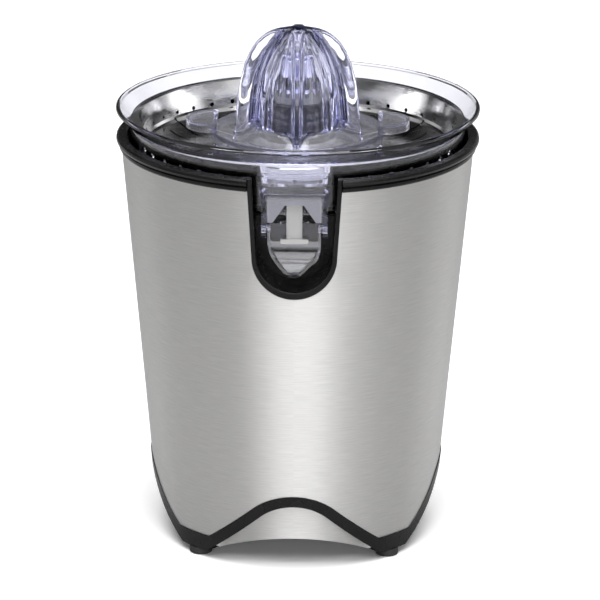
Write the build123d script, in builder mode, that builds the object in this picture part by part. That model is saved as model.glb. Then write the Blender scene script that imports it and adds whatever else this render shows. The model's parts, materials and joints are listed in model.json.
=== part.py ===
from build123d import *
import math
import os

# Citrus press juicer. Millimetres, +Z up, the table at z = 0, the spout faces -Y.

# ---- Driving dimensions ----
rim_radius = 95.0
rim_height = 232.0
shell_top = 209.9
shell_foot = 13.0
shell_top_radius = 92.2
shell_slope = 0.087
shell_wall = 0.8

arch_apex = 42.0
arch_half_span = 44.7
arch_flank_x = 22.0
arch_flank_z = 33.2
band_drop = 5.8
band_proud = 0.5
band_depth = 3.2
panel_setback = 4.7
panel_wall = 0.8
panel_arc_radius = 81.4
panel_arc_top = 16.0
pad_bottom = 4.0
foot_radius = 6.0
foot_circle = 69.5

slot_half_width = 21.7
slot_bottom = 152.5
slot_shoulder = 174.2
slot_slope = 0.06
pocket_half_width = 19.2
pocket_bottom = 156.5
pocket_back = -63.0

cord_height = 27.0

deck_bottom = 190.0
deck_top = 192.5
tower_top = 235.0
tower_radius = 16.0

bowl_floor = 197.0
bowl_wall_radius = 87.6
bowl_inner_radius = 85.2
ledge_height = 223.9
chimney_radius = 18.5

sieve_floor = 209.7
sieve_wall = 0.8
sieve_radius = 81.5
drain_hole_count = 40
drain_hole_radius = 1.2

cone_top = 273.4
cone_foot = 215.8

hinge_y = -86.5
hinge_z = 190.0
hinge_pin_radius = 2.0
hinge_clearance = 0.06

gear_module = 1.0
gear_centres = 30.0
motor_pinion_teeth = 12
idler_wheel_teeth = 48
idler_pinion_teeth = 14
output_gear_teeth = 46
shaft_radius = 5.0
running_clearance = 0.05

post_y = -32.0
switch_y = -44.0
motor_bolt_circle = 44.0
motor_low = 60.0
motor_high = 100.0


# ---- Helpers, called inside a part block ----
def shell_radius(height):
    """Outer radius of the tapered sleeve at a height."""
    return shell_top_radius + shell_slope * (height - shell_top)


def turn(points, mode=Mode.ADD):
    """Turn a closed outline of (radius, height) points about the vertical axis."""
    with BuildSketch(Plane.XZ) as profile:
        with BuildLine():
            Polyline(*points, close=True)
        make_face()
    revolve(profile.sketch, axis=Axis.Z, mode=mode)


def sleeve(offset_out, offset_in, low, high, mode=Mode.ADD):
    """A tapered ring between two offsets from the steel sleeve's outer surface."""
    turn(
        [
            (shell_radius(low) - offset_in, low),
            (shell_radius(low) - offset_out, low),
            (shell_radius(high) - offset_out, high),
            (shell_radius(high) - offset_in, high),
        ],
        mode,
    )


def tube(outer, inner, low, high, x=0.0, y=0.0, mode=Mode.ADD):
    """A round tube, or a rod when inner is 0, standing at (x, y)."""
    with BuildSketch(Plane.XY.offset(low)) as ring:
        with Locations((x, y)):
            Circle(outer)
            if inner > 0:
                Circle(inner, mode=Mode.SUBTRACT)
    extrude(ring.sketch, amount=high - low, mode=mode)


def block(x_from, x_to, y_from, y_to, z_from, z_to, mode=Mode.ADD):
    """A box between two corners."""
    with BuildSketch(Plane.XY.offset(z_from)) as base:
        with Locations(((x_from + x_to) / 2, (y_from + y_to) / 2)):
            Rectangle(x_to - x_from, y_to - y_from)
    extrude(base.sketch, amount=z_to - z_from, mode=mode)


def wall(points, y_from, y_to, mode=Mode.ADD):
    """A closed outline of (x, z) points, drawn from y_from to y_to."""
    with BuildSketch(Plane.XZ.offset(-y_from)) as face:
        with BuildLine():
            Polyline(*points, close=True)
        make_face()
    extrude(face.sketch, amount=y_from - y_to, mode=mode)


def u_outline(half_width, bottom, top=220.0):
    """Face of the U slot: upright sides that part slightly, and a round bottom."""
    flare = slot_slope * (top - slot_shoulder)
    with BuildSketch(Plane.XZ) as outline:
        with BuildLine():
            Line((-half_width - flare, top), (-half_width, slot_shoulder))
            ThreePointArc((-half_width, slot_shoulder), (0, bottom), (half_width, slot_shoulder))
            Line((half_width, slot_shoulder), (half_width + flare, top))
            Line((half_width + flare, top), (-half_width - flare, top))
        make_face()
    return outline.sketch


def arch_outline(drop):
    """Face of a base arch, its edge moved down and in by drop."""
    flank = math.atan2(arch_flank_z - shell_foot, arch_half_span - arch_flank_x)
    shift = drop / math.sin(flank)
    floor = -2.0
    reach = arch_half_span - shift + (shell_foot - floor) / math.tan(flank)
    inner_x = arch_flank_x - drop * math.sin(flank)
    inner_z = arch_flank_z - drop * math.cos(flank)
    with BuildSketch(Plane.XZ) as outline:
        with BuildLine():
            Line((-reach, floor), (-inner_x, inner_z))
            ThreePointArc((-inner_x, inner_z), (0, arch_apex - drop), (inner_x, inner_z))
            Line((inner_x, inner_z), (reach, floor))
            Line((reach, floor), (-reach, floor))
        make_face()
    return outline.sketch


def cut_arches(drop):
    """Cut the four arches right through the part being built."""
    for angle in (0, 90):
        extrude(arch_outline(drop).rotate(Axis.Z, angle), amount=120, both=True, mode=Mode.SUBTRACT)


def involute(angle):
    """Involute function of an angle in radians."""
    return math.tan(angle) - angle


def gear_outline(teeth, first_tooth_angle, addendum=0.82, dedendum=1.3, backlash=0.36):
    """Involute spur gear, 20 degree pressure angle, with one tooth centred at an angle."""
    pressure = math.radians(20)
    pitch_radius = gear_module * teeth / 2
    base_radius = pitch_radius * math.cos(pressure)
    root_radius = pitch_radius - dedendum * gear_module
    tip_radius = pitch_radius + addendum * gear_module
    half_tooth = math.pi / (2 * teeth) - backlash / (2 * pitch_radius)

    def flank_point(radius):
        angle = math.acos(min(1.0, base_radius / max(radius, base_radius)))
        return radius, half_tooth + involute(pressure) - involute(angle)

    start = max(base_radius, root_radius + 0.15)
    steps = 5
    radii = [start + (tip_radius - start) * step / steps for step in range(steps + 1)]
    rising = [(root_radius, flank_point(start)[1])] + [flank_point(radius) for radius in radii]
    points = []
    for tooth in range(teeth):
        centre = math.radians(first_tooth_angle) + 2 * math.pi * tooth / teeth
        for radius, half in rising:
            points.append((radius * math.cos(centre - half), radius * math.sin(centre - half)))
        for radius, half in reversed(rising):
            points.append((radius * math.cos(centre + half), radius * math.sin(centre + half)))
    return points


def gear(teeth, first_tooth_angle, low, high, y=0.0):
    """A toothed disc standing on the axis at (0, y)."""
    with BuildSketch(Plane.XY.offset(low)) as face:
        with Locations((0, y)):
            with BuildLine():
                Polyline(*[(px, py + y) for px, py in gear_outline(teeth, first_tooth_angle)], close=True)
            make_face()
    extrude(face.sketch, amount=high - low)


# ---- Housing ----
with BuildPart() as steel_shell:
    sleeve(0, shell_wall, shell_foot, shell_top)
    cut_arches(0)
    extrude(u_outline(slot_half_width, slot_bottom), amount=120, mode=Mode.SUBTRACT)

with BuildPart() as top_collar:
    turn(
        [
            (89.3, 204.0), (90.8, 204.0), (90.8, 210.0), (92.9, 210.0), (93.5, 210.8), (93.5, 212.0),
            (93.0, 212.5), (94.4, 213.4), (95.0, 214.6), (94.8, 215.8), (93.8, 216.6), (90.0, 216.6),
            (89.3, 216.0),
        ]
    )
    block(-24.2, 24.2, -120, -60, 200, 220, mode=Mode.SUBTRACT)

with BuildPart() as inner_deck:
    turn([(12.5, deck_bottom), (89.4, deck_bottom), (89.4, deck_top), (12.5, deck_top)])
    tube(89.4, 88.4, deck_top, 203.8)
    tube(82.0, 79.0, deck_top, bowl_floor - 0.3)
    block(-24.0, 24.0, -120, pocket_back + 1.2, 180, 205, mode=Mode.SUBTRACT)

with BuildPart() as drive_tower:
    turn(
        [
            (12.5, deck_top), (tower_radius + 5, deck_top), (tower_radius + 5, 195.5), (tower_radius, 196.5),
            (tower_radius, tower_top - 0.8), (tower_radius - 0.8, tower_top), (7.0, tower_top),
            (7.0, tower_top - 3), (12.5, tower_top - 3),
        ]
    )
    tube(9.0, 7.0, tower_top - 14, tower_top - 3)
    with PolarLocations(10.9, 6):
        with Locations((0, 0, tower_top - 8.5)):
            Box(4.2, 1.6, 11)

with BuildPart() as spout_bezel:
    extrude(u_outline(slot_half_width - 0.1, slot_bottom + 0.1, 216.6), amount=100)
    sleeve(-0.6, 60, 150, 217, mode=Mode.INTERSECT)
    block(-30, 30, -120, pocket_back + 1.0, 140, 220, mode=Mode.INTERSECT)
    extrude(
        u_outline(pocket_half_width, pocket_bottom, 221.0).moved(Location((0, pocket_back, 0))),
        amount=60,
        mode=Mode.SUBTRACT,
    )
    tube(88.5, 0, deck_bottom - 0.2, 220, mode=Mode.SUBTRACT)
    bezel_face = spout_bezel.faces().sort_by(Axis.Y)[0]
    fillet(bezel_face.edges().filter_by(lambda edge: edge.bounding_box().size.Z > 15), 0.7)

with BuildPart() as band_space:
    for angle in (0, 90):
        extrude(arch_outline(0.05).rotate(Axis.Z, angle), amount=120, both=True)
    block(-120, 120, -120, 120, 0, shell_foot - 0.05)

with BuildPart() as base_frame:
    sleeve(-band_proud, band_depth, pad_bottom, arch_apex + 1)
    add(band_space.part, mode=Mode.INTERSECT)
    sleeve(0.9, band_depth, shell_foot, arch_apex + 12)
    cut_arches(band_drop)
    with PolarLocations(64, 4, start_angle=45):
        with Locations((0, 0, (pad_bottom + shell_foot) / 2)):
            Box(18, 19, shell_foot - pad_bottom)
    turn([(57.5, 16.4), (66.0, 16.4), (66.0, 21.0), (52.0, 21.0), (52.0, 19.0), (57.5, 19.0)])
    with PolarLocations(65.7, 4, start_angle=45):
        with Locations((0, 0, 15)):
            Box(16, 17, 6)
    with PolarLocations(foot_circle, 4, start_angle=45):
        with Locations((0, 0, 8)):
            Cylinder(2.5, 8.2, mode=Mode.SUBTRACT)
    with PolarLocations(54.5, 4, start_angle=0):
        with Locations((0, 0, 20)):
            Cylinder(1.2, 6, mode=Mode.SUBTRACT)

panels = {}
for side, angle in (("front", 0), ("right", 90), ("back", 180), ("left", 270)):
    with BuildPart() as panel:
        sleeve(panel_setback, panel_setback + panel_wall, 6, arch_apex + 2)
        extrude(arch_outline(3.0), amount=120, mode=Mode.INTERSECT)
        block(-41.5, 41.5, -120, 0, 0, 60, mode=Mode.INTERSECT)
        with BuildSketch(Plane.XZ) as under:
            with Locations((0, panel_arc_top - panel_arc_radius)):
                Circle(panel_arc_radius)
        extrude(under.sketch, amount=120, mode=Mode.SUBTRACT)
        if side == "back":
            with Locations(Location((0, 0, cord_height), (90, 0, 0))):
                Cylinder(5.0, 200, mode=Mode.SUBTRACT)
    panels[side] = panel.part.rotate(Axis.Z, angle)

feet = {}
for place, angle in (("front_left", 225), ("front_right", 315), ("back_right", 45), ("back_left", 135)):
    centre_x = foot_circle * math.cos(math.radians(angle))
    centre_y = foot_circle * math.sin(math.radians(angle))
    with BuildPart() as foot:
        tube(foot_radius, 0, 0, pad_bottom, centre_x, centre_y)
        tube(2.5, 0, pad_bottom, pad_bottom + 7, centre_x, centre_y)
        fillet(foot.edges().filter_by(GeomType.CIRCLE).group_by(Axis.Z)[0], 0.8)
    feet[place] = foot.part

with BuildPart() as bottom_cover:
    tube(57.3, 0, 16.4, 18.9)
    with PolarLocations(30, 12):
        with Locations((0, 0, 17.65)):
            Box(26, 3, 3, mode=Mode.SUBTRACT)
    with PolarLocations(54.5, 4):
        with Locations((0, 0, 17.6)):
            Cylinder(1.6, 4, mode=Mode.SUBTRACT)

with BuildPart() as cover_screws:
    with PolarLocations(54.5, 4):
        with Locations((0, 0, 15.7)):
            Cylinder(2.9, 1.4)
        with Locations((0, 0, 18.4)):
            Cylinder(1.2, 4.4)
        with Locations((0, 0, 15.2)):
            Box(3.6, 0.7, 0.8, mode=Mode.SUBTRACT)

gland_inner, gland_outer = 60.0, shell_radius(35) - panel_setback + 0.1
with BuildPart() as cord_gland:
    with BuildSketch(Plane.XZ.offset(-gland_outer)) as flange:
        with Locations((0, cord_height)):
            Circle(6.5)
    extrude(flange.sketch, amount=-1.6)
    with BuildSketch(Plane.XZ.offset(-gland_inner)) as body:
        with Locations((0, cord_height)):
            Circle(4.9)
    extrude(body.sketch, amount=gland_inner - gland_outer)
    with Locations(Location((0, 68, cord_height), (90, 0, 0))):
        Cylinder(3.6, 30, mode=Mode.SUBTRACT)

# ---- Drive train ----
with BuildPart() as gearbox_base:
    tube(57.8, 6.1, 128.0, 131.0)
    with PolarLocations(52.5, 4, start_angle=45):
        with Locations((0, 0, 129)):
            Cylinder(1.6, 8, mode=Mode.SUBTRACT)
    with PolarLocations(motor_bolt_circle, 4, start_angle=45):
        with Locations((0, 0, 129)):
            Cylinder(2.0, 8, mode=Mode.SUBTRACT)
    tube(2.0, 0, 127, 132, 0, gear_centres, mode=Mode.SUBTRACT)
    tube(2.5, 0, 127, 132, 0, post_y, mode=Mode.SUBTRACT)

with BuildPart() as gearbox_cover:
    turn([(57.8, 131.0), (57.8, 166.0), (55.8, 168.0), (7.0, 168.0), (7.0, 165.5), (54.8, 165.5), (55.3, 165.0),
          (55.3, 131.0)])
    tube(2.0, 0, 160, 167, 0, gear_centres, mode=Mode.SUBTRACT)
    tube(2.5, 0, 160, 167, 0, post_y, mode=Mode.SUBTRACT)
    with PolarLocations(52.5, 4, start_angle=45):
        with Locations((0, 0, 138)):
            Cylinder(3.4, 14)
        with Locations((0, 0, 136)):
            Cylinder(1.2, 10.2, mode=Mode.SUBTRACT)

with BuildPart() as gearbox_screws:
    with PolarLocations(52.5, 4, start_angle=45):
        with Locations((0, 0, 127)):
            Cylinder(2.9, 2)
        with Locations((0, 0, 132)):
            Cylinder(1.2, 8)
        with Locations((0, 0, 126.3)):
            Box(3.6, 0.7, 0.8, mode=Mode.SUBTRACT)

with BuildPart() as mounting_posts:
    with PolarLocations(motor_bolt_circle, 4, start_angle=45):
        with Locations((0, 0, (168 + deck_bottom) / 2)):
            Cylinder(5, deck_bottom - 168)

with BuildPart() as shaft_bush:
    tube(7.0, shaft_radius + running_clearance, tower_top - 14, tower_top - 1)

with BuildPart() as shaft_seal:
    tube(7.0, shaft_radius + 0.1, tower_top - 1, tower_top)
    tube(14.4, shaft_radius + 0.1, tower_top, tower_top + 0.8)

with BuildPart() as gearbox_bush:
    tube(7.0, shaft_radius + running_clearance, 163.5, 168.0)

with BuildPart() as idler_axle:
    tube(2.0, 0, 128.0, 167.0, 0, gear_centres)

with BuildPart() as guide_post:
    tube(2.5, 0, 128.0, 167.0, 0, post_y)

with BuildPart() as output_shaft:
    tube(shaft_radius, 0, 148.0, tower_top + 3)
    with BuildSketch(Plane.XY.offset(tower_top + 3)) as hexagon:
        RegularPolygon(shaft_radius - 0.4, 6)
    extrude(hexagon.sketch, amount=18)
    chamfer(output_shaft.faces().sort_by(Axis.Z)[-1].edges(), 0.6)

with BuildPart() as output_gear:
    gear(output_gear_teeth, 90, 150.0, 158.0)
    tube(9.0, 0, 158.0, 162.0)
    tube(20.0, 10.0, 155.0, 158.0, mode=Mode.SUBTRACT)
    tube(shaft_radius, 0, 149, 163, mode=Mode.SUBTRACT)

with BuildPart() as idler_wheel:
    gear(idler_wheel_teeth, -90 + 180 / idler_wheel_teeth, 136.0, 143.0, gear_centres)
    tube(5.0, 0, 143.0, 146.5, 0, gear_centres)
    tube(20.0, 7.0, 140.5, 143.0, 0, gear_centres, mode=Mode.SUBTRACT)
    tube(2.0 + running_clearance, 0, 135, 147, 0, gear_centres, mode=Mode.SUBTRACT)

with BuildPart() as idler_pinion:
    gear(idler_pinion_teeth, -90 + 180 / idler_pinion_teeth, 146.5, 160.0, gear_centres)
    tube(2.0 + running_clearance, 0, 146, 161, 0, gear_centres, mode=Mode.SUBTRACT)

with BuildPart() as idler_washers:
    tube(4.0, 2.0, 131.0, 135.7, 0, gear_centres)
    tube(4.0, 2.0, 160.3, 165.5, 0, gear_centres)

with BuildPart() as thrust_plate:
    tube(8.0, 0, 145.4, 147.95)
    block(-3.5, 3.5, switch_y - 2.5, 0, 145.4, 147.4)
    tube(5.5, 0, 145.4, 158.0, 0, post_y)
    tube(2.5 + running_clearance, 0, 145, 159, 0, post_y, mode=Mode.SUBTRACT)

with BuildPart() as return_spring:
    with BuildLine(Plane.XY) as coil:
        Helix(pitch=2.4, height=12.0, radius=4.2, center=(0, post_y, 132.3))
    with BuildSketch(Plane(origin=coil.line @ 0, z_dir=coil.line % 0)) as wire:
        Circle(0.5)
    sweep()

with BuildPart() as microswitch:
    block(-9, 9, switch_y - 4, switch_y + 4, 131.0, 141.5)
    tube(1.5, 0, 139.0, 142, 0, switch_y, mode=Mode.SUBTRACT)
    for pin_x in (-6, 0, 6):
        block(pin_x - 1.5, pin_x + 1.5, switch_y - 8.5, switch_y - 4, 134.0, 134.8)

with BuildPart() as switch_button:
    tube(1.5 - running_clearance, 0, 141.0, 145.1, 0, switch_y)

with BuildPart() as motor_shaft:
    tube(3.0, 0, 26.0, 143.4)

with BuildPart() as motor_pinion:
    gear(motor_pinion_teeth, 90, 135.0, 143.2)
    tube(3.0, 0, 134, 145, mode=Mode.SUBTRACT)

with BuildPart() as rotor_core:
    tube(22.0, 3.0, motor_low + 1, motor_high - 1)
    tube(20.0, 12.0, motor_low - 3, motor_low + 1)
    tube(20.0, 12.0, motor_high - 1, motor_high + 3)

with BuildPart() as cooling_fan:
    tube(7.0, 3.0, 28.0, 42.0)
    tube(32.0, 6.0, 28.0, 29.5)
    with PolarLocations(19.0, 9):
        with Locations(Location((0, 0, 33.5), (0, 0, 12))):
            Box(24, 1.4, 9)

with BuildPart() as stator_stack:
    with BuildSketch(Plane.XY.offset(motor_low)) as lamination:
        RectangleRounded(78, 78, 6)
        Circle(22.6, mode=Mode.SUBTRACT)
        with PolarLocations(30.5, 4, start_angle=45):
            SlotOverall(17, 12, mode=Mode.SUBTRACT)
        with PolarLocations(motor_bolt_circle, 4, start_angle=45):
            Circle(2.0, mode=Mode.SUBTRACT)
    extrude(lamination.sketch, amount=motor_high - motor_low)

with BuildPart() as stator_coils:
    for low, high in ((motor_low - 9, motor_low - 0.2), (motor_high + 0.2, motor_high + 9)):
        tube(36.0, 25.5, low, high)
    fillet(stator_coils.edges().filter_by(GeomType.CIRCLE), 1.5)
    with PolarLocations(30.5, 4, start_angle=45):
        with Locations((0, 0, (motor_low + motor_high) / 2)):
            Box(9, 10, motor_high - motor_low + 2)

with BuildPart() as motor_bracket:
    for low in (motor_low - 13, motor_high + 11):
        with BuildSketch(Plane.XY.offset(low)) as bar:
            Rectangle(92, 14, rotation=45)
            Rectangle(92, 14, rotation=-45)
            Circle(6.0, mode=Mode.SUBTRACT)
            with PolarLocations(motor_bolt_circle, 4, start_angle=45):
                Circle(6.5)
                Circle(2.0, mode=Mode.SUBTRACT)
        extrude(bar.sketch, amount=2.5)
    for low, high in ((motor_low - 10.5, motor_low), (motor_high, motor_high + 11), (motor_high + 13.5, 128.0)):
        with BuildSketch(Plane.XY.offset(low)) as spacers:
            with PolarLocations(motor_bolt_circle, 4, start_angle=45):
                Circle(4.2)
                Circle(2.0, mode=Mode.SUBTRACT)
        extrude(spacers.sketch, amount=high - low)

bearings = {}
for place, low in (("lower_bearing", motor_low - 15), ("upper_bearing", motor_high + 9.5)):
    with BuildPart() as bearing:
        tube(6.0, 3.0 + running_clearance, low, low + 6)
    bearings[place] = bearing.part

with BuildPart() as motor_screws:
    with PolarLocations(motor_bolt_circle, 4, start_angle=45):
        with Locations((0, 0, (motor_low - 13 + 134) / 2)):
            Cylinder(2.0, 134 - (motor_low - 13))
        with Locations((0, 0, motor_low - 14.5)):
            Cylinder(3.6, 3)
        with Locations((0, 0, motor_low - 15.7)):
            Box(4.6, 0.8, 1.2, mode=Mode.SUBTRACT)

# ---- Bowl, sieve and spout ----
chute_top, chute_low = 219.0, 194.5
chute_front, plate_wall = -91.2, 1.7
chute_top_half, chute_low_half = 18.6, 15.4
recess_back = -76.0
recess_top = 208.6
outlet_low, outlet_high = 198.5, 203.1


def chute_half(height):
    """Half the chute's width at a height."""
    share = (height - chute_low) / (chute_top - chute_low)
    return chute_low_half + (chute_top_half - chute_low_half) * share


def chute_face(inset, low, high):
    """Corners of the chute's tapered face, set in at its sides."""
    return [
        (-chute_half(low) + inset, low), (chute_half(low) - inset, low),
        (chute_half(high) - inset, high), (-chute_half(high) + inset, high),
    ]


with BuildPart() as juice_bowl:
    wall(chute_face(0, recess_top, chute_top), chute_front, -70)
    tube(bowl_inner_radius + 0.5, 0, 190, 240, mode=Mode.SUBTRACT)
    wall(chute_face(plate_wall, 200, chute_top - plate_wall), chute_front + plate_wall, -60, mode=Mode.SUBTRACT)
    wall(chute_face(0, chute_low, recess_top), chute_front, recess_back)
    with BuildSketch(Plane.XZ) as rounded_rim:
        with BuildLine():
            Polyline(
                (19.0, 201.5), (bowl_inner_radius - 2, 199.0), (bowl_inner_radius, 201.0),
                (bowl_inner_radius, ledge_height), (86.9, ledge_height), (86.9, 225.4), (92.4, 230.7),
                (92.9, 231.6), (93.6, rim_height), (94.5, rim_height), (rim_radius, 231.4), (rim_radius, 230.3),
                (88.2, 223.8), (bowl_wall_radius, 222.6), (bowl_wall_radius, 199.2), (85.4, bowl_floor),
                (17.0, bowl_floor), (17.0, 218.0), (chimney_radius, 218.0), (chimney_radius, 203.0),
                close=True,
            )
        make_face()
    revolve(rounded_rim.sketch, axis=Axis.Z)
    wall(
        chute_face(plate_wall, 180, recess_top - plate_wall),
        chute_front + plate_wall, recess_back - plate_wall, mode=Mode.SUBTRACT,
    )
    wall([(-11.6, chute_low - 1), (11.6, chute_low - 1), (4.8, 203.5), (-4.8, 203.5)], -100, -85,
         mode=Mode.SUBTRACT)
    block(-3.5, 3.5, -80, recess_back + 6, outlet_low, outlet_high, mode=Mode.SUBTRACT)
    for side in (-1, 1):
        with BuildSketch(Plane.YZ.offset(side * 14.3)) as cheek:
            with BuildLine():
                Line((chute_front, 206), (chute_front, hinge_z))
                ThreePointArc((chute_front, hinge_z), (hinge_y, hinge_z - 4.7), (-81.8, hinge_z))
                Line((-81.8, hinge_z), (-81.8, 206))
                Line((-81.8, 206), (chute_front, 206))
            make_face()
            with Locations((hinge_y, hinge_z)):
                Circle(hinge_pin_radius + hinge_clearance, mode=Mode.SUBTRACT)
        extrude(cheek.sketch, amount=side * 2.4)

with BuildPart() as strainer:
    turn(
        [
            (20.6, sieve_floor), (sieve_radius - 3, sieve_floor), (sieve_radius - 1, 210.4),
            (sieve_radius, 212.2), (83.8, ledge_height + 0.3), (86.6, ledge_height + 0.3),
            (86.6, ledge_height + 1.1), (83.1, ledge_height + 1.1), (sieve_radius - 0.8, 212.4),
            (sieve_radius - 1.6, 211.1), (sieve_radius - 3.2, sieve_floor + sieve_wall),
            (20.6 - sieve_wall, sieve_floor + sieve_wall),
        ]
    )
    tube(20.6, 20.6 - sieve_wall, sieve_floor, 214.6)
    with PolarLocations(sieve_radius - 0.2, drain_hole_count):
        with Locations(Location((0, 0, 213.6), (0, 90, 0))):
            Cylinder(drain_hole_radius, 8, mode=Mode.SUBTRACT)
    for mirror_x in (-1, 1):
        for mirror_y in (-1, 1):
            for path in (
                [(67.2, 45.6), (63.4, 37.4), (58.0, 23.5), (51.6, 12.0), (46.0, 8.6)],
                [(68.3, 24.4), (64.0, 14.0), (57.0, 5.0)],
            ):
                with BuildSketch(Plane.XY.offset(sieve_floor - 1)) as slot:
                    with BuildLine():
                        Spline(*[(mirror_x * px, mirror_y * py) for px, py in path])
                    trace(line_width=1.1)
                extrude(slot.sketch, amount=3, mode=Mode.SUBTRACT)
    for slot_radius, slot_count in ((29, 12), (36, 16), (43, 20)):
        with BuildSketch(Plane.XY.offset(sieve_floor - 1)) as rows:
            with PolarLocations(slot_radius, slot_count):
                SlotOverall(5.0, 1.1, rotation=90)
        extrude(rows.sketch, amount=3, mode=Mode.SUBTRACT)

spout_half, spout_wall = 13.4, 1.4
lip_drop = 23.5
seal_back = hinge_y + 2.0


def scoop_face(half, lip, top):
    """Front outline of the scoop, upright at its top and round at its lip."""
    with BuildSketch(Plane.XZ.offset(100)) as outline:
        with BuildLine():
            Line((-half, hinge_z + top), (-half, hinge_z - 5))
            Spline(
                (-half, hinge_z - 5), (-0.6 * half, hinge_z - 0.76 * lip), (0, hinge_z - lip),
                (0.6 * half, hinge_z - 0.76 * lip), (half, hinge_z - 5),
                tangents=((0, -1), (0, 1)),
            )
            Line((half, hinge_z - 5), (half, hinge_z + top))
            Line((half, hinge_z + top), (-half, hinge_z + top))
        make_face()
    return outline.sketch


def scoop_side(back, front, lip, top):
    """Side outline of the scoop, its back curving forward to the lip."""
    with BuildSketch(Plane.YZ) as outline:
        with BuildLine():
            Line((hinge_y + back, hinge_z + top), (hinge_y + back, hinge_z - 5))
            Spline(
                (hinge_y + back, hinge_z - 5), (hinge_y + back - 2.6, hinge_z - 0.62 * lip),
                (hinge_y - 8.2, hinge_z - lip),
                tangents=((0, -1), (-1, -0.55)),
            )
            Line((hinge_y - 8.2, hinge_z - lip), (hinge_y + front, hinge_z - lip + 1.6))
            Line((hinge_y + front, hinge_z - lip + 1.6), (hinge_y + front + 4.6, hinge_z + top))
            Line((hinge_y + front + 4.6, hinge_z + top), (hinge_y + back, hinge_z + top))
        make_face()
    return outline.sketch


with BuildPart(mode=Mode.PRIVATE) as scoop_space:
    extrude(scoop_face(spout_half - spout_wall, lip_drop - spout_wall, 4), amount=-30)
    extrude(scoop_side(2.0, -14, lip_drop - spout_wall, 4), amount=30, both=True, mode=Mode.INTERSECT)

with BuildPart() as pour_spout:
    extrude(scoop_face(spout_half, lip_drop, 2.2), amount=-30)
    extrude(scoop_side(3.6, -8.2, lip_drop, 2.2), amount=30, both=True, mode=Mode.INTERSECT)
    add(scoop_space.part, mode=Mode.SUBTRACT)
    block(-7.2, 7.2, hinge_y - 1.8, seal_back + 0.1, hinge_z - 5.0, hinge_z + 3.4)
    block(-4.0, 4.0, hinge_y - 3.0, seal_back, hinge_z - 6.0, hinge_z + 4.0, mode=Mode.SUBTRACT)
    with Locations(Location((0, hinge_y, hinge_z), (0, 90, 0))):
        with Locations((0, 0, spout_half), (0, 0, -spout_half)):
            Cylinder(hinge_pin_radius, 2 * spout_wall, mode=Mode.SUBTRACT)

with BuildPart() as spout_pins:
    for side in (-1, 1):
        with BuildSketch(Plane.YZ.offset(side * (spout_half - spout_wall))) as pin_face:
            with Locations((hinge_y, hinge_z)):
                Circle(hinge_pin_radius)
        extrude(pin_face.sketch, amount=side * 4.6)

with BuildPart() as spout_seal:
    with BuildSketch(Plane.YZ) as seal_side:
        with BuildLine():
            Polyline(
                (hinge_y + 0.2, hinge_z - 5.0), (seal_back, hinge_z - 5.0), (seal_back, hinge_z + 9.5),
                (hinge_y + 1.4, hinge_z + 12.0), (hinge_y - 1.3, hinge_z + 15.5),
                (hinge_y - 2.2, hinge_z + 15.0), (hinge_y + 0.2, hinge_z + 11.4),
                close=True,
            )
        make_face()
    extrude(seal_side.sketch, amount=4.0, both=True)
    block(-7.0, 7.0, hinge_y - 2.2, hinge_y + 1.2, hinge_z - 7.5, hinge_z - 5.0)

# ---- Reamer ----
fin_foot, fin_tip = (33.0, cone_foot + 0.1), (0, cone_top)
with BuildPart() as reamer_cone:
    with BuildSketch(Plane.XZ) as core_profile:
        with BuildLine():
            Polyline((17.6, 221.2), (22.0, 221.2), (21.2, 236.0))
            Spline((21.2, 236.0), (19.0, 249.0), (14.0, 261.0), (7.0, 269.5), (0, 272.4))
            Line((0, 272.4), (0, 268.0))
            Spline((0, 268.0), (6.5, 265.5), (12.0, 258.5), (16.2, 249.0), (17.6, 238.0))
            Line((17.6, 238.0), (17.6, 221.2))
        make_face()
    revolve(core_profile.sketch, axis=Axis.Z)
    with BuildSketch(Plane.XZ) as fin_face:
        with BuildLine():
            Spline(fin_foot, (31.5, 236.1), (27.8, 253.7), (18.8, 268.2), fin_tip, tangents=((-0.05, 1), (-1, 0)))
            Line(fin_tip, (0, 269.0))
            Line((0, 269.0), (12.0, 262.0))
            Line((12.0, 262.0), (18.4, 246.0))
            Line((18.4, 246.0), (18.4, 221.4))
            Line((18.4, 221.4), (22.6, 221.3))
            Line((22.6, 221.3), (24.4, 220.2))
            Line((24.4, 220.2), (31.6, cone_foot + 0.2))
            Line((31.6, cone_foot + 0.2), fin_foot)
        make_face()
    for angle in (0, 90, 180, 270):
        extrude(fin_face.sketch.rotate(Axis.Z, angle), amount=1.4, both=True)

with BuildPart() as pulp_plate:
    turn(
        [
            (19.4, 219.4), (22.0, 219.2), (31.0, 213.9), (34.5, 213.9), (42.6, 216.6), (42.9, 213.2),
            (44.5, 213.2), (44.5, 219.0), (44.1, 219.3), (43.6, 219.2), (34.0, 215.7), (31.3, 215.8),
            (24.2, 219.8), (22.4, 221.1), (19.4, 221.2),
        ]
    )
    for side in (-1, 1):
        with BuildSketch(Plane.XY.offset(219.6)) as wing:
            with BuildLine():
                ThreePointArc((side * 42.5, -15), (side * 58.5, 0), (side * 42.5, 15))
                Line((side * 42.5, 15), (side * 42.5, -15))
            make_face()
        extrude(wing.sketch, amount=4.8)
        with BuildSketch(Plane.XY.offset(219.0)) as wing_hollow:
            with BuildLine():
                ThreePointArc((side * 43.9, -13.2), (side * 56.9, 0), (side * 43.9, 13.2))
                Line((side * 43.9, 13.2), (side * 43.9, -13.2))
            make_face()
        extrude(wing_hollow.sketch, amount=3.8, mode=Mode.SUBTRACT)
        with BuildSketch(Plane.XY.offset(216.2)) as wing_root:
            with Locations((side * 43.2, 0)):
                Rectangle(2.6, 28)
        extrude(wing_root.sketch, amount=8.2)

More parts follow.
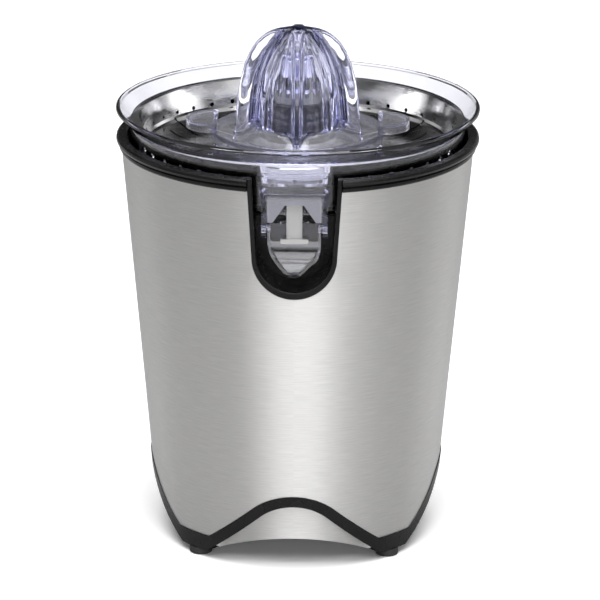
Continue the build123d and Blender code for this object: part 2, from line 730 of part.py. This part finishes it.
with BuildPart() as drive_socket:
    tube(8.5, 0, tower_top + 4.2, 259.5)
    with BuildSketch(Plane.XY.offset(tower_top + 4)) as socket_bore:
        RegularPolygon(shaft_radius - 0.2, 6)
    extrude(socket_bore.sketch, amount=17.4, mode=Mode.SUBTRACT)

# ---- Files ----
pieces = {
    "steel_shell": steel_shell.part,
    "top_collar": top_collar.part,
    "inner_deck": inner_deck.part,
    "drive_tower": drive_tower.part,
    "spout_bezel": spout_bezel.part,
    "base_frame": base_frame.part,
    "bottom_cover": bottom_cover.part,
    "cover_screws": cover_screws.part,
    "cord_gland": cord_gland.part,
    "gearbox_base": gearbox_base.part,
    "gearbox_cover": gearbox_cover.part,
    "gearbox_screws": gearbox_screws.part,
    "gearbox_bush": gearbox_bush.part,
    "mounting_posts": mounting_posts.part,
    "shaft_bush": shaft_bush.part,
    "shaft_seal": shaft_seal.part,
    "idler_axle": idler_axle.part,
    "idler_washers": idler_washers.part,
    "idler_wheel": idler_wheel.part,
    "idler_pinion": idler_pinion.part,
    "guide_post": guide_post.part,
    "output_shaft": output_shaft.part,
    "output_gear": output_gear.part,
    "thrust_plate": thrust_plate.part,
    "return_spring": return_spring.part,
    "microswitch": microswitch.part,
    "switch_button": switch_button.part,
    "motor_shaft": motor_shaft.part,
    "motor_pinion": motor_pinion.part,
    "rotor_core": rotor_core.part,
    "cooling_fan": cooling_fan.part,
    "stator_stack": stator_stack.part,
    "stator_coils": stator_coils.part,
    "motor_bracket": motor_bracket.part,
    "motor_screws": motor_screws.part,
    "juice_bowl": juice_bowl.part,
    "strainer": strainer.part,
    "pour_spout": pour_spout.part,
    "spout_pins": spout_pins.part,
    "spout_seal": spout_seal.part,
    "reamer_cone": reamer_cone.part,
    "pulp_plate": pulp_plate.part,
    "drive_socket": drive_socket.part,
}
pieces.update(bearings)
pieces.update({f"base_panel_{side}": panel for side, panel in panels.items()})
pieces.update({f"foot_{place}": foot for place, foot in feet.items()})

os.makedirs("parts", exist_ok=True)
for name, piece in pieces.items():
    piece.label = name
    export_step(piece, f"parts/{name}.step")
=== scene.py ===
import json
import math

import bmesh
import bpy
from mathutils import Matrix, Vector


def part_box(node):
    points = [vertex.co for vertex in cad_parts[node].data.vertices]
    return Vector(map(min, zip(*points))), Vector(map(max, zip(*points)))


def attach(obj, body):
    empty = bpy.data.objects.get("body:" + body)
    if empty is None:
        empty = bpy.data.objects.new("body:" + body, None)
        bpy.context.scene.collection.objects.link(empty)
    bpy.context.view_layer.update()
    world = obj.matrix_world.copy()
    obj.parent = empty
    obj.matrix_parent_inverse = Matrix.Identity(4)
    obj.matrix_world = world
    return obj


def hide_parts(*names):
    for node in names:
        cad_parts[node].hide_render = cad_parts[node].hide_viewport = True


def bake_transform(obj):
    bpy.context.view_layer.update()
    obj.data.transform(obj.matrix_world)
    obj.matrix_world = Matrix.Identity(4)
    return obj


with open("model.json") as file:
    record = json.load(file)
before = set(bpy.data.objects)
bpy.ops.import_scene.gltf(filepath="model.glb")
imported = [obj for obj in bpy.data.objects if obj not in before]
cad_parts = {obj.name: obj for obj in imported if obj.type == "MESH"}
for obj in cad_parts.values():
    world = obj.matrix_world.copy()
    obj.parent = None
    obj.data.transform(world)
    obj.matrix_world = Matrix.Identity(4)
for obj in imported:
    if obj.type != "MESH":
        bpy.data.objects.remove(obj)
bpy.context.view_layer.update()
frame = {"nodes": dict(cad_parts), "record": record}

nodes = frame["nodes"]

# ---- Materials ----


def new_material(name):
    """An empty node material with its Principled shader and output."""
    material = bpy.data.materials.new(name)
    material.use_nodes = True
    tree = material.node_tree
    tree.nodes.clear()
    shader = tree.nodes.new("ShaderNodeBsdfPrincipled")
    output = tree.nodes.new("ShaderNodeOutputMaterial")
    tree.links.new(shader.outputs["BSDF"], output.inputs["Surface"])
    return material, tree, shader


def object_coordinates(tree, scale):
    """Object coordinates stretched by a scale on each axis."""
    coordinates = tree.nodes.new("ShaderNodeTexCoord")
    mapping = tree.nodes.new("ShaderNodeMapping")
    mapping.inputs["Scale"].default_value = scale
    tree.links.new(coordinates.outputs["Object"], mapping.inputs["Vector"])
    return mapping.outputs["Vector"]


def graph(tree, operation, first, second):
    """A math node on two values, each a socket or a number."""
    node = tree.nodes.new("ShaderNodeMath")
    node.operation = operation
    for socket, value in zip(node.inputs, (first, second)):
        if isinstance(value, (int, float)):
            socket.default_value = value
        else:
            tree.links.new(value, socket)
    return node.outputs[0]


def split_coordinates(tree):
    """The object's own coordinates, whole and as separate X, Y and Z."""
    coordinates = tree.nodes.new("ShaderNodeTexCoord")
    split = tree.nodes.new("ShaderNodeSeparateXYZ")
    tree.links.new(coordinates.outputs["Object"], split.inputs["Vector"])
    return coordinates.outputs["Object"], split.outputs


def mix_colours(tree, factor, first, second, blend="MIX"):
    """Two colours mixed, added or multiplied."""
    node = tree.nodes.new("ShaderNodeMix")
    node.data_type = "RGBA"
    node.blend_type = blend
    if isinstance(factor, (int, float)):
        node.inputs["Factor"].default_value = factor
    else:
        tree.links.new(factor, node.inputs["Factor"])
    tree.links.new(first, node.inputs["A"])
    tree.links.new(second, node.inputs["B"])
    return node.outputs["Result"]


def noise(tree, vector, scale, detail=3.0, roughness=0.5):
    """A noise texture's value."""
    texture = tree.nodes.new("ShaderNodeTexNoise")
    texture.inputs["Scale"].default_value = scale
    texture.inputs["Detail"].default_value = detail
    texture.inputs["Roughness"].default_value = roughness
    tree.links.new(vector, texture.inputs["Vector"])
    return texture.outputs["Fac"]


def remap(tree, value, low, high, from_low=0.3, from_high=0.7):
    """A value carried from one range to another."""
    node = tree.nodes.new("ShaderNodeMapRange")
    node.inputs["From Min"].default_value = from_low
    node.inputs["From Max"].default_value = from_high
    node.inputs["To Min"].default_value = low
    node.inputs["To Max"].default_value = high
    tree.links.new(value, node.inputs["Value"])
    return node.outputs["Result"]


def colour_mix(tree, value, dark, light):
    """A colour between two, chosen by a value."""
    ramp = tree.nodes.new("ShaderNodeValToRGB")
    ramp.color_ramp.elements[0].position = 0.3
    ramp.color_ramp.elements[0].color = (*dark, 1)
    ramp.color_ramp.elements[1].position = 0.7
    ramp.color_ramp.elements[1].color = (*light, 1)
    tree.links.new(value, ramp.inputs["Fac"])
    return ramp.outputs["Color"]


def bump(tree, shader, height, strength, distance):
    """A bump on the shader's normal."""
    node = tree.nodes.new("ShaderNodeBump")
    node.inputs["Strength"].default_value = strength
    node.inputs["Distance"].default_value = distance
    tree.links.new(height, node.inputs["Height"])
    tree.links.new(node.outputs["Normal"], shader.inputs["Normal"])


def cylinder_coordinates(tree, around, up):
    """Coordinates that run round the vertical axis and up it, for brushing that follows the sleeve."""
    axes = split_coordinates(tree)[1]
    join = tree.nodes.new("ShaderNodeCombineXYZ")
    bearing = graph(tree, "ARCTAN2", axes["X"], axes["Y"])
    tree.links.new(graph(tree, "MULTIPLY", bearing, around), join.inputs["X"])
    tree.links.new(graph(tree, "MULTIPLY", axes["Z"], up), join.inputs["Y"])
    return join.outputs["Vector"]


def brushed_steel():
    """Stainless sheet with fine brushing round the body, which draws reflections out upright."""
    material, tree, shader = new_material("brushed_steel")
    streaks = noise(tree, cylinder_coordinates(tree, 3.0, 900.0), 2.2, 6.0, 0.62)
    fine = noise(tree, cylinder_coordinates(tree, 14.0, 3600.0), 1.5, 3.0, 0.6)
    shader.inputs["Metallic"].default_value = 1.0
    shader.inputs["Anisotropic"].default_value = 0.93
    shader.inputs["Anisotropic Rotation"].default_value = 0.25
    colour = colour_mix(tree, streaks, (0.56, 0.555, 0.55), (0.66, 0.655, 0.648))
    tree.links.new(colour, shader.inputs["Base Color"])
    tree.links.new(remap(tree, fine, 0.36, 0.44), shader.inputs["Roughness"])
    tangent = tree.nodes.new("ShaderNodeTangent")
    tangent.direction_type = "RADIAL"
    tangent.axis = "Z"
    tree.links.new(tangent.outputs["Tangent"], shader.inputs["Tangent"])
    bump(tree, shader, streaks, 0.06, 0.0003)
    return material


def polished_steel():
    """Deep-drawn steel sheet, close to a mirror."""
    material, tree, shader = new_material("polished_steel")
    cloud = noise(tree, object_coordinates(tree, (1, 1, 1)), 90.0, 4.0)
    rings = noise(tree, object_coordinates(tree, (1, 1, 6)), 240.0, 2.0)
    shader.inputs["Metallic"].default_value = 1.0
    colour = colour_mix(tree, cloud, (0.66, 0.66, 0.67), (0.74, 0.74, 0.75))
    tree.links.new(colour, shader.inputs["Base Color"])
    tree.links.new(remap(tree, cloud, 0.07, 0.14), shader.inputs["Roughness"])
    bump(tree, shader, rings, 0.04, 0.0004)
    return material


def moulded(name, dark, light, rough_low, rough_high, grain=2200.0, depth=0.06, shine=0.5):
    """Moulded plastic or rubber with a fine surface grain."""
    material, tree, shader = new_material(name)
    shader.inputs["Specular IOR Level"].default_value = shine
    vector = object_coordinates(tree, (1, 1, 1))
    cloud = noise(tree, vector, 60.0, 4.0)
    fine = noise(tree, vector, grain, 2.0)
    tree.links.new(colour_mix(tree, cloud, dark, light), shader.inputs["Base Color"])
    tree.links.new(remap(tree, cloud, rough_low, rough_high), shader.inputs["Roughness"])
    bump(tree, shader, fine, depth, 0.0002)
    return material


def lilac_depth(tree):
    """Absorption that tints the plastic more where it is thick."""
    absorption = tree.nodes.new("ShaderNodeVolumeAbsorption")
    absorption.inputs["Color"].default_value = (0.30, 0.32, 0.80, 1)
    absorption.inputs["Density"].default_value = 30.0
    output = next(node for node in tree.nodes if node.type == "OUTPUT_MATERIAL")
    tree.links.new(absorption.outputs["Volume"], output.inputs["Volume"])


def clear_plastic(name, dark, light, clearness=1.0):
    """Clear moulded plastic with a faint lilac cast and slight flow waves."""
    material, tree, shader = new_material(name)
    lilac_depth(tree)
    vector = object_coordinates(tree, (1, 1, 0.6))
    waves = noise(tree, vector, 55.0, 2.0)
    shader.inputs["Transmission Weight"].default_value = clearness
    shader.inputs["IOR"].default_value = 1.5
    tree.links.new(colour_mix(tree, waves, dark, light), shader.inputs["Base Color"])
    tree.links.new(remap(tree, waves, 0.01, 0.03), shader.inputs["Roughness"])
    bump(tree, shader, waves, 0.05, 0.0006)
    return material


def frost_chute(material, top_z, back_y, half_width):
    """Frost the chute's front plate: below a height, ahead of a depth and between the hinge cheeks."""
    tree = material.node_tree
    shader = next(node for node in tree.nodes if node.type == "BSDF_PRINCIPLED")
    whole, axes = split_coordinates(tree)
    below = remap(tree, axes["Z"], 1.0, 0.0, top_z - 0.004, top_z)
    ahead = remap(tree, axes["Y"], 1.0, 0.0, back_y - 0.002, back_y)
    aside = graph(tree, "ABSOLUTE", axes["X"], 0.0)
    between = remap(tree, aside, 1.0, 0.0, half_width - 0.001, half_width)
    frosted = graph(tree, "MULTIPLY", graph(tree, "MULTIPLY", below, ahead), between)
    grain = noise(tree, whole, 900.0, 2.0)
    clear_colour = shader.inputs["Base Color"].links[0].from_socket
    clear_roughness = shader.inputs["Roughness"].links[0].from_socket
    frost_colour = colour_mix(tree, grain, (0.42, 0.42, 0.49), (0.48, 0.48, 0.55))
    tree.links.new(mix_colours(tree, frosted, clear_colour, frost_colour), shader.inputs["Base Color"])
    rough = graph(tree, "ADD", clear_roughness, graph(tree, "MULTIPLY", frosted, 0.45))
    tree.links.new(rough, shader.inputs["Roughness"])
    tree.links.new(remap(tree, frosted, 1.0, 0.6, 0.0, 1.0), shader.inputs["Transmission Weight"])


def plain_metal(name, dark, light, rough_low, rough_high, stretch=(1, 1, 1)):
    """Metal for shafts, screws, laminations and windings."""
    material, tree, shader = new_material(name)
    marks = noise(tree, object_coordinates(tree, stretch), 300.0, 4.0)
    shader.inputs["Metallic"].default_value = 1.0
    tree.links.new(colour_mix(tree, marks, dark, light), shader.inputs["Base Color"])
    tree.links.new(remap(tree, marks, rough_low, rough_high), shader.inputs["Roughness"])
    bump(tree, shader, marks, 0.08, 0.0003)
    return material


materials = {
    "brushed_steel": brushed_steel(),
    "polished_steel": polished_steel(),
    "black_plastic": moulded(
        "black_plastic", (0.004, 0.004, 0.004), (0.008, 0.008, 0.008), 0.22, 0.32, shine=0.2
    ),
    "grey_plastic": moulded("grey_plastic", (0.045, 0.045, 0.055), (0.06, 0.06, 0.07), 0.3, 0.42),
    "clear_plastic": clear_plastic("clear_plastic", (0.93, 0.93, 0.975), (0.96, 0.96, 0.99)),
    # white_silicone gets a grey of 0.38 to 0.45 instead of white: painted shade, standing in for the shade
    # that falls on the seal down in its recess
    "white_silicone": moulded("white_silicone", (0.38, 0.38, 0.38), (0.45, 0.45, 0.44), 0.4, 0.55),
    "black_rubber": moulded(
        "black_rubber", (0.015, 0.015, 0.015), (0.025, 0.025, 0.025), 0.6, 0.75, 1500.0, 0.15
    ),
    "screw_steel": plain_metal("screw_steel", (0.5, 0.5, 0.52), (0.62, 0.62, 0.64), 0.25, 0.4),
    "shaft_steel": plain_metal("shaft_steel", (0.6, 0.6, 0.62), (0.7, 0.7, 0.72), 0.12, 0.25, (1, 1, 0.1)),
    "gear_plastic": moulded("gear_plastic", (0.78, 0.77, 0.70), (0.84, 0.83, 0.77), 0.35, 0.5),
    "bronze": plain_metal("bronze", (0.50, 0.33, 0.16), (0.62, 0.44, 0.24), 0.35, 0.5),
    "lamination_steel": plain_metal(
        "lamination_steel", (0.22, 0.22, 0.24), (0.36, 0.36, 0.38), 0.35, 0.55, (0.05, 0.05, 4)
    ),
    "copper": plain_metal("copper", (0.62, 0.26, 0.11), (0.78, 0.40, 0.20), 0.25, 0.4, (0.3, 0.3, 5)),
}

slot_of = {entry["node"]: entry["material_slot"] for entry in frame["record"]["subparts"]}
for name, node in nodes.items():
    node.data.materials.clear()
    node.data.materials.append(materials[slot_of[name]])

# the bowl is greyer than the cone and frosted on its chute, and the pulp plate is a little milky
rim_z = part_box("juice_bowl")[1].z
frost_top = rim_z - 0.0230
frost_back, frost_half_width = -0.0855, 0.0140
bowl_plastic = clear_plastic("bowl_plastic", (0.80, 0.80, 0.83), (0.87, 0.87, 0.90))
frost_chute(bowl_plastic, frost_top, frost_back, frost_half_width)
nodes["juice_bowl"].data.materials[0] = bowl_plastic
plate_plastic = clear_plastic("plate_plastic", (0.90, 0.90, 0.95), (0.94, 0.94, 0.98), 0.92)
nodes["pulp_plate"].data.materials[0] = plate_plastic

mm = 0.001


def add_object(name, data):
    """A new object in the scene, made from a mesh, lamp or camera."""
    placed = bpy.data.objects.new(name, data)
    bpy.context.scene.collection.objects.link(placed)
    return placed


# ---- Reamer ----
cone_low, cone_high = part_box("reamer_cone")
foot_z = cone_low.z / mm
apex_z = cone_high.z / mm
foot_radius = cone_high.x / mm
cone_height = apex_z - foot_z
core_lift = 5.4
blade_half_width = 1.75
root_reach = 7.0
scallop_depth = 1.5
# (share of the cone's height, share of its foot radius) along the crest of a fin, a flute and the hollow
crest_line = (
    (0, 1.0), (0.22, 0.976), (0.36, 0.953), (0.5, 0.918), (0.66, 0.842), (0.765, 0.766), (0.85, 0.674),
    (0.91, 0.57), (0.955, 0.452), (0.983, 0.32), (0.996, 0.16), (1.0, 0.0),
)
flute_line = (
    (0, 0.69), (0.1, 0.675), (0.36, 0.642), (0.57, 0.57), (0.74, 0.45), (0.86, 0.31), (0.93, 0.2),
    (0.98, 0.08), (1.0, 0.0),
)
hollow_line = (
    (0, 0.534), (0.1, 0.534), (0.385, 0.53), (0.575, 0.49), (0.74, 0.365), (0.86, 0.2), (0.905, 0.0),
)


def along(line, height):
    """Radius in millimetres on a profile line at a height, straight between its points."""
    share = min(max((height - foot_z) / cone_height, 0.0), 1.0)
    for (low, low_radius), (high, high_radius) in zip(line, line[1:]):
        if share <= high:
            part = (share - low) / (high - low)
            return (low_radius + (high_radius - low_radius) * part) * foot_radius
    return 0.0


def smooth_along(line, height, window=2.0):
    """Radius on a profile line, averaged over a short height."""
    heights = [height + window * step / 4 for step in range(-4, 5)]
    return sum(along(line, min(max(level, foot_z), apex_z)) for level in heights) / len(heights)


def off_quarter(bearing):
    """Angle from the nearest blade, of the four."""
    return (bearing + math.pi / 4) % (math.pi / 2) - math.pi / 4


def cone_radius(bearing, height):
    """Radius of the ribbed cone: four blades, and scalloped flutes between them."""
    crest = smooth_along(crest_line, height, 0.8)
    flute = min(smooth_along(flute_line, height), crest)
    off_blade = abs(math.sin(off_quarter(bearing))) * (0.35 * crest + 0.65 * flute)
    blade = 1 / (1 + (off_blade / blade_half_width) ** 4)
    root = math.exp(-off_blade / root_reach)
    ridge_pitch = math.pi / 8
    ridge_phase = abs(2 * ((bearing % ridge_pitch) / ridge_pitch) - 1)
    fade = min(1.0, flute / 12) * min(1.0, (height - foot_z) / 6)
    scallop = scallop_depth * fade * (1 - ridge_phase ** 1.7)
    between = flute - scallop + (crest - flute) * 0.6 * root
    return between + (crest - between) * blade


def cone_bearings():
    """Bearings round the cone, close together on the blades."""
    half = [0, 0.7, 1.4, 2.1, 2.8, 3.5, 4.3, 5.3, 6.6, 8.2, 10.0] + [12 + 1.5 * step for step in range(23)]
    quarter = [-angle for angle in reversed(half[1:])] + half[:-1]
    return [math.radians(90 * side + angle) for side in range(4) for angle in quarter]


def ribbed_cone():
    """The clear reaming cone: a ribbed outside, a smooth hollow inside and a closed foot."""
    mesh = bpy.data.meshes.new("reamer_cone_ribbed")
    shape = bmesh.new()
    bearings = cone_bearings()
    levels = [1 - (1 - step / 60) ** 1.6 for step in range(60)]

    def skin(radius_at, low_at, top):
        rows = []
        for level in levels:
            row = []
            for bearing in bearings:
                low = low_at(bearing)
                height = low + (top - low) * level
                radius = radius_at(bearing, height)
                across, ahead = radius * math.cos(bearing), radius * math.sin(bearing)
                row.append(shape.verts.new((across * mm, ahead * mm, height * mm)))
            rows.append(row)
        tip = shape.verts.new((0, 0, top * mm))
        return rows, tip

    def outer_low(bearing):
        return foot_z + core_lift * (1 - 1 / (1 + (abs(off_quarter(bearing)) / 0.11) ** 4))

    def inner_low(bearing):
        return foot_z + core_lift

    def hollow_radius(bearing, height):
        return smooth_along(hollow_line, height)

    hollow_top = foot_z + hollow_line[-1][0] * cone_height
    outer, outer_tip = skin(cone_radius, outer_low, apex_z)
    inner, inner_tip = skin(hollow_radius, inner_low, hollow_top)
    count = len(bearings)
    for rows, tip, flip in ((outer, outer_tip, False), (inner, inner_tip, True)):
        for lower, upper in zip(rows, rows[1:]):
            for index in range(count):
                after = (index + 1) % count
                face = [lower[index], lower[after], upper[after], upper[index]]
                shape.faces.new(face[::-1] if flip else face)
        for index in range(count):
            after = (index + 1) % count
            face = [rows[-1][index], rows[-1][after], tip]
            shape.faces.new(face[::-1] if flip else face)
    for index in range(count):
        after = (index + 1) % count
        shape.faces.new((outer[0][after], outer[0][index], inner[0][index], inner[0][after]))
    for face in shape.faces:
        face.smooth = True
    shape.to_mesh(mesh)
    shape.free()
    mesh.materials.append(materials["clear_plastic"])
    cone = add_object("reamer_cone_ribbed", mesh)
    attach(cone, "reamer")
    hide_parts("reamer_cone")


ribbed_cone()

# ---- Return spring ----
spring_wire, spring_turns, coil_steps, wire_sides = 0.5 * mm, 5, 48, 10


def coil_spring():
    """The return spring, wound as a wire coil from the bottom to the top of its part's box."""
    low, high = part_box("return_spring")
    centre = (low + high) / 2
    reach = (high.x - low.x) / 2 - spring_wire
    foot, rise = low.z + spring_wire, high.z - low.z - 2 * spring_wire
    climb = rise / (2 * math.pi * spring_turns)
    mesh = bpy.data.meshes.new("return_spring_coil")
    coil = bmesh.new()
    rings = []
    for step in range(spring_turns * coil_steps + 1):
        angle = 2 * math.pi * step / coil_steps
        outward = Vector((math.cos(angle), math.sin(angle), 0))
        forward = Vector((-reach * math.sin(angle), reach * math.cos(angle), climb)).normalized()
        across = forward.cross(outward)
        middle = Vector((centre.x, centre.y, foot + climb * angle)) + outward * reach
        ring = []
        for side in range(wire_sides):
            turned = 2 * math.pi * side / wire_sides
            offset = outward * math.cos(turned) + across * math.sin(turned)
            ring.append(coil.verts.new(middle + offset * spring_wire))
        rings.append(ring)
    for ring, following in zip(rings, rings[1:]):
        for side in range(wire_sides):
            after = (side + 1) % wire_sides
            coil.faces.new((ring[side], ring[after], following[after], following[side])).smooth = True
    coil.faces.new(rings[0])
    coil.faces.new(rings[-1][::-1])
    bmesh.ops.recalc_face_normals(coil, faces=coil.faces)
    coil.to_mesh(mesh)
    coil.free()
    mesh.materials.append(materials[slot_of["return_spring"]])
    spring = add_object("return_spring_coil", mesh)
    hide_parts("return_spring")
    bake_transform(spring)


coil_spring()

# ---- Floor, light and camera ----


def studio_floor():
    """A wide floor, white where it is looked at and greyer in reflections."""
    mesh = bpy.data.meshes.new("floor")
    sheet = bmesh.new()
    bmesh.ops.create_grid(sheet, x_segments=2, y_segments=2, size=6.0)
    sheet.to_mesh(mesh)
    sheet.free()
    floor = add_object("floor", mesh)
    material, tree, shader = new_material("floor_white")
    cloud = noise(tree, object_coordinates(tree, (1, 1, 1)), 3.0)
    ray = tree.nodes.new("ShaderNodeLightPath")
    seen = graph(tree, "MAXIMUM", ray.outputs["Is Camera Ray"], ray.outputs["Is Transmission Ray"])
    grey = colour_mix(tree, cloud, (0.57, 0.57, 0.57), (0.58, 0.58, 0.58))
    white = colour_mix(tree, cloud, (1.16, 1.16, 1.16), (1.18, 1.18, 1.18))
    tree.links.new(mix_colours(tree, seen, grey, white), shader.inputs["Base Color"])
    shader.inputs["Roughness"].default_value = 0.9
    shader.inputs["Specular IOR Level"].default_value = 0.0
    mesh.materials.append(material)


def level_ramp(tree, value, stops):
    """Brightness that follows a list of (position, level) stops."""
    ramp = tree.nodes.new("ShaderNodeValToRGB")
    ramp.color_ramp.interpolation = "EASE"
    elements = ramp.color_ramp.elements
    elements.remove(elements[-1])
    for index, (position, level) in enumerate(stops):
        element = elements[0] if index == 0 else elements.new(position)
        element.position = position
        element.color = (level, level, level, 1)
    tree.links.new(value, ramp.inputs["Fac"])
    return ramp.outputs["Color"]


def studio_world():
    """A dim room with a tall soft panel in front, a wide one overhead, and white where it is looked at."""
    world = bpy.data.worlds.new("studio")
    bpy.context.scene.world = world
    world.use_nodes = True
    tree = world.node_tree
    tree.nodes.clear()
    output = tree.nodes.new("ShaderNodeOutputWorld")
    coordinates = tree.nodes.new("ShaderNodeTexCoord")
    split = tree.nodes.new("ShaderNodeSeparateXYZ")
    tree.links.new(coordinates.outputs["Generated"], split.inputs["Vector"])
    back = graph(tree, "MULTIPLY", split.outputs["Y"], -1.0)
    bearing = graph(tree, "ARCTAN2", split.outputs["X"], back)
    share = graph(tree, "ADD", graph(tree, "DIVIDE", bearing, 2 * math.pi), 0.5)
    round_room = [(0.5 + degrees / 360, level) for degrees, level in room_levels]
    belt = level_ramp(tree, share, round_room)
    low_down = level_ramp(tree, split.outputs["Z"], belt_reach)
    low_belt = mix_colours(tree, 1.0, belt, low_down, "MULTIPLY")
    overhead = level_ramp(tree, split.outputs["Z"], sky_levels)
    room = mix_colours(tree, 1.0, low_belt, overhead, "ADD")
    lit = tree.nodes.new("ShaderNodeBackground")
    lit.inputs["Strength"].default_value = room_strength
    tree.links.new(room, lit.inputs["Color"])
    white = tree.nodes.new("ShaderNodeBackground")
    white.inputs["Color"].default_value = (1, 1, 1, 1)
    ray = tree.nodes.new("ShaderNodeLightPath")
    choose = tree.nodes.new("ShaderNodeMixShader")
    tree.links.new(ray.outputs["Is Camera Ray"], choose.inputs["Fac"])
    tree.links.new(lit.outputs["Background"], choose.inputs[1])
    tree.links.new(white.outputs["Background"], choose.inputs[2])
    tree.links.new(choose.outputs["Shader"], output.inputs["Surface"])


def softbox(name, place, target, width, height, power):
    """A rectangular studio lamp aimed at a point."""
    lamp = bpy.data.lights.new(name, "AREA")
    lamp.shape = "RECTANGLE"
    lamp.size = width
    lamp.size_y = height
    lamp.energy = power
    lamp_object = add_object(name, lamp)
    lamp_object.location = place
    lamp_object.rotation_euler = (Vector(target) - Vector(place)).to_track_quat("-Z", "Y").to_euler()


def studio_camera():
    """A long lens, 18 degrees above the object's middle."""
    distance, pitch, side_turn, roll = 1.919, 18.073, 0.95, 0.32
    target_height = 0.1241
    camera = bpy.data.cameras.new("camera")
    camera.lens = 216.6
    camera.sensor_width = 36.0
    camera.shift_x = 0.0052
    camera_object = add_object("camera", camera)
    aim = Matrix.Translation((0, 0, target_height))
    turn = Matrix.Rotation(math.radians(side_turn), 4, "Z")
    tilt = Matrix.Rotation(math.radians(90 - pitch), 4, "X")
    reach = Matrix.Translation((0, 0, distance))
    lean = Matrix.Rotation(math.radians(roll), 4, "Z")
    camera_object.matrix_world = aim @ turn @ tilt @ reach @ lean
    bpy.context.scene.camera = camera_object


# brightness of the room by bearing: degrees from the front, towards +X
room_levels = (
    (-180, 0.02), (-150, 0.03), (-120, 0.14), (-93, 0.03), (-38, 0.02), (-24, 0.38), (-11, 0.80),
    (6, 1.0), (18, 0.85), (30, 0.52), (46, 0.22), (70, 0.05), (90, 0.03), (108, 0.2), (126, 0.3),
    (150, 0.1), (180, 0.02),
)
# share of that brightness, and extra brightness, by the sine of the height above the horizon
belt_reach = ((0.0, 1.0), (0.28, 1.0), (0.46, 0.06), (1.0, 0.06))
sky_levels = ((0.0, 0.0), (0.55, 0.0), (0.74, 0.16), (1.0, 0.2))
room_strength = 4.2

studio_floor()
studio_world()
softbox("top_light", (0.0, -0.35, 2.0), (0, 0, 0.1), 1.6, 1.6, 38)
softbox("front_light", (0.1, -1.7, 1.75), (0, 0, 0.2), 1.3, 0.7, 11)
studio_camera()
bpy.context.scene.view_settings.view_transform = "Standard"
